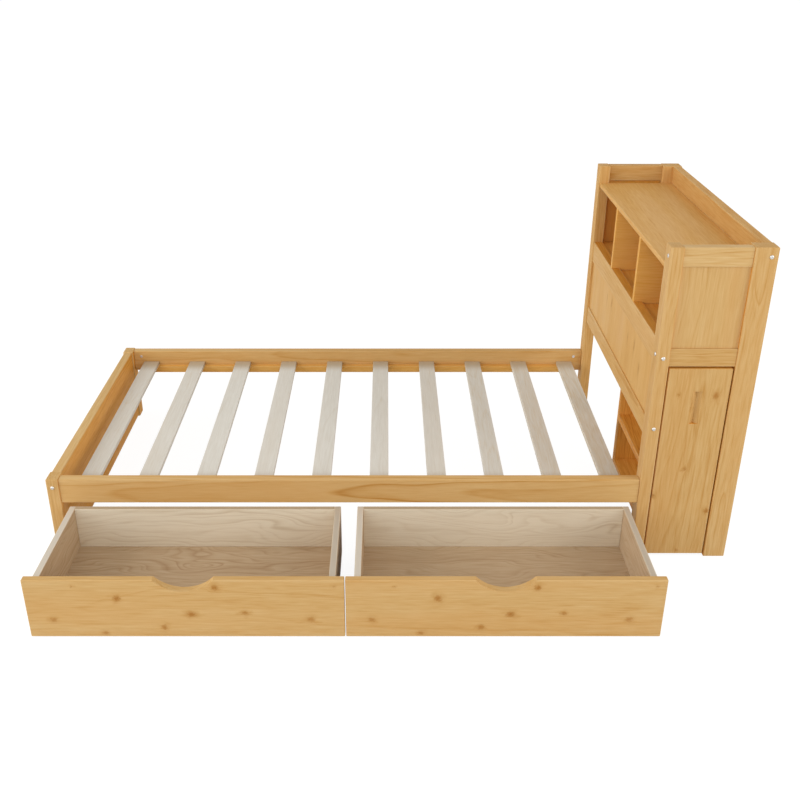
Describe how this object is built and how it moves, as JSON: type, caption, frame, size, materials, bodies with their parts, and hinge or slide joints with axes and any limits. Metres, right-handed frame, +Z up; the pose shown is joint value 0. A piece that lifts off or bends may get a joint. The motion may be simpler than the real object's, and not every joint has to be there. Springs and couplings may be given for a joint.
{
  "type": "storage platform bed",
  "caption": "Single platform bed of pine with slats, rolling drawers under one side, a bookcase headboard and a rolling pull-out shelf unit in the headboard's end.",
  "frame": {"origin": "middle of the bounding box on the floor, with both drawers pulled out as in the picture", "axes": "+X along the bed to the headboard, +Y from the drawer side to the far side, +Z up"},
  "size_m": [2.268, 1.522, 1.089],
  "materials": {
    "pine": "satin lacquered pine",
    "slat_wood": "plain sawn softwood",
    "drawer_ply": "pale plywood",
    "shelf_ply": "satin lacquered board",
    "steel": "bright zinc plated",
    "caster_fork": "moulded",
    "caster_wheel": "moulded"
  },
  "bodies": {
    "frame": {"foot_post_near": "pine", "foot_post_far": "pine", "end_board": "pine", "side_rail_near": "pine", "side_rail_far": "pine", "slat_ledger_near": "slat_wood", "slat_ledger_far": "slat_wood", "slat_01": "slat_wood", "slat_02": "slat_wood", "slat_03": "slat_wood", "slat_04": "slat_wood", "slat_05": "slat_wood", "slat_06": "slat_wood", "slat_07": "slat_wood", "slat_08": "slat_wood", "slat_09": "slat_wood", "slat_10": "slat_wood", "head_post_front_near": "pine", "head_post_front_far": "pine", "head_post_rear_near": "pine", "head_post_rear_far": "pine", "side_top_rail_near": "pine", "side_top_rail_far": "pine", "side_middle_rail_near": "pine", "side_middle_rail_far": "pine", "side_panel_near": "pine", "side_panel_far": "pine", "front_upper_rail": "pine", "front_panel": "pine", "front_lower_rail": "pine", "bookcase_back": "pine", "bookcase_floor": "pine", "bookcase_top": "pine", "bookcase_divider_near": "pine", "bookcase_divider_far": "pine"},
    "pullout": {"pullout_door": "pine", "pullout_end_panel": "shelf_ply", "pullout_bottom": "shelf_ply", "pullout_shelf_lower": "shelf_ply", "pullout_shelf_upper": "shelf_ply", "pullout_caster_forks": "caster_fork"},
    "drawer_left": {"drawer_left_front": "pine", "drawer_left_back": "drawer_ply", "drawer_left_side_left": "drawer_ply", "drawer_left_side_right": "drawer_ply", "drawer_left_bottom": "drawer_ply", "drawer_left_caster_forks": "caster_fork"},
    "drawer_right": {"drawer_right_front": "pine", "drawer_right_back": "drawer_ply", "drawer_right_side_left": "drawer_ply", "drawer_right_side_right": "drawer_ply", "drawer_right_bottom": "drawer_ply", "drawer_right_caster_forks": "caster_fork"},
    "drawer_left_wheels_front": {"drawer_left_wheels_front": "caster_wheel"},
    "drawer_left_wheels_rear": {"drawer_left_wheels_rear": "caster_wheel"},
    "drawer_right_wheels_front": {"drawer_right_wheels_front": "caster_wheel"},
    "drawer_right_wheels_rear": {"drawer_right_wheels_rear": "caster_wheel"},
    "pullout_wheels_front": {"pullout_wheels_front": "caster_wheel"},
    "pullout_wheels_rear": {"pullout_wheels_rear": "caster_wheel"}
  },
  "joints": [
    {"name": "drawer_left_slide", "type": "slide", "parent": "frame", "child": "drawer_left", "axis": [0, 1, 0], "range_m": [0, 0.422]},
    {"name": "drawer_left_wheels_front_roll", "type": "hinge", "parent": "drawer_left", "child": "drawer_left_wheels_front", "pos_m": [-0.615, -0.676, 0.02], "axis": [1, 0, 0], "continuous": true},
    {"name": "drawer_left_wheels_rear_roll", "type": "hinge", "parent": "drawer_left", "child": "drawer_left_wheels_rear", "pos_m": [-0.615, -0.412, 0.02], "axis": [1, 0, 0], "continuous": true},
    {"name": "drawer_right_slide", "type": "slide", "parent": "frame", "child": "drawer_right", "axis": [0, 1, 0], "range_m": [0, 0.422]},
    {"name": "drawer_right_wheels_front_roll", "type": "hinge", "parent": "drawer_right", "child": "drawer_right_wheels_front", "pos_m": [0.337, -0.676, 0.02], "axis": [1, 0, 0], "continuous": true},
    {"name": "drawer_right_wheels_rear_roll", "type": "hinge", "parent": "drawer_right", "child": "drawer_right_wheels_rear", "pos_m": [0.337, -0.412, 0.02], "axis": [1, 0, 0], "continuous": true},
    {"name": "pullout_slide", "type": "slide", "parent": "frame", "child": "pullout", "axis": [0, -1, 0], "range_m": [0, 0.48]},
    {"name": "pullout_wheels_front_roll", "type": "hinge", "parent": "pullout", "child": "pullout_wheels_front", "pos_m": [0.9595, -0.279, 0.02], "axis": [1, 0, 0], "continuous": true},
    {"name": "pullout_wheels_rear_roll", "type": "hinge", "parent": "pullout", "child": "pullout_wheels_rear", "pos_m": [0.9595, 0.152, 0.02], "axis": [1, 0, 0], "continuous": true}
  ],
  "couplings": [
    {"joint": "drawer_left_wheels_front_roll", "follows": "drawer_left_slide", "rad_per_m": -50},
    {"joint": "drawer_left_wheels_rear_roll", "follows": "drawer_left_slide", "rad_per_m": -50},
    {"joint": "drawer_right_wheels_front_roll", "follows": "drawer_right_slide", "rad_per_m": -50},
    {"joint": "drawer_right_wheels_rear_roll", "follows": "drawer_right_slide", "rad_per_m": -50},
    {"joint": "pullout_wheels_front_roll", "follows": "pullout_slide", "rad_per_m": 50},
    {"joint": "pullout_wheels_rear_roll", "follows": "pullout_slide", "rad_per_m": 50}
  ]
}
